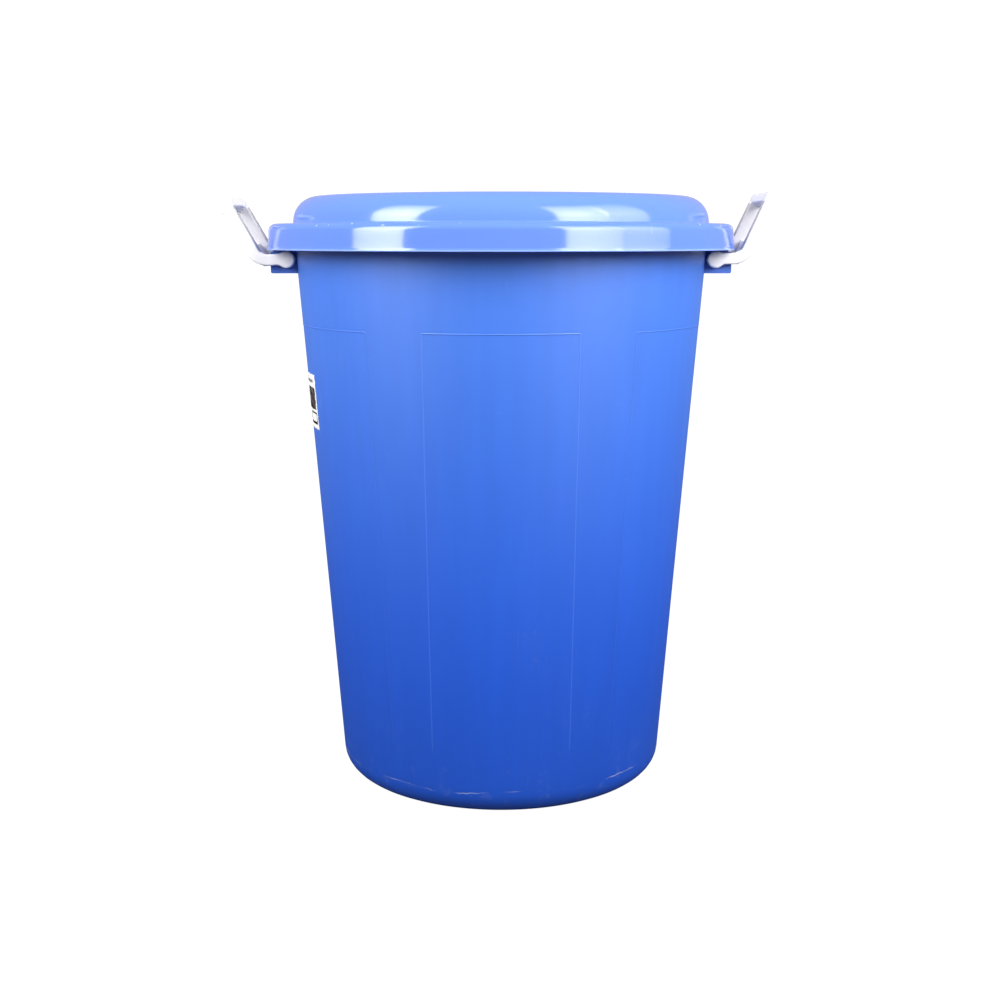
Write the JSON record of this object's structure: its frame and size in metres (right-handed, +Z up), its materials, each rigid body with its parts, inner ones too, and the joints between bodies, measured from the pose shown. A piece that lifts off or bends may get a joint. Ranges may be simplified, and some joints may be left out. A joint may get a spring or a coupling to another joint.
{
  "type": "storage drum",
  "caption": "Tapered round plastic storage drum with a domed lift-off lid, side panels, moulded ears and swing handles.",
  "frame": {"origin": "centre of the ring that the drum stands on, at floor level", "axes": "+Z up along the drum's axis, +X towards the right handle, -Y towards the front panel"},
  "size_m": [0.6657, 0.568, 0.7226],
  "materials": {
    "tub_plastic": "satin-gloss blue, fine vertical flow streaks, scuffed at the foot",
    "lid_plastic": "glossy lighter blue, small nicks on the rim",
    "handle_plastic": "white, slightly satin",
    "label_paper": "printed paper sticker"
  },
  "bodies": {
    "drum": {"tub": "tub_plastic", "product_label": "label_paper"},
    "lid": {"lid": "lid_plastic"},
    "right_handle": {"handle_right": "handle_plastic"},
    "left_handle": {"handle_left": "handle_plastic"}
  },
  "joints": [
    {"name": "lid_lift", "type": "slide", "parent": "drum", "child": "lid", "axis": [0, 0, 1], "range_m": [0, 0.12]},
    {"name": "right_handle_swing", "type": "hinge", "parent": "drum", "child": "right_handle", "pos_m": [0.25613, 0, 0.6432], "axis": [0, 1, 0], "range_deg": [-4, 97]},
    {"name": "left_handle_swing", "type": "hinge", "parent": "drum", "child": "left_handle", "pos_m": [-0.25613, 0, 0.6432], "axis": [0, -1, 0], "range_deg": [-9, 92]}
  ]
}
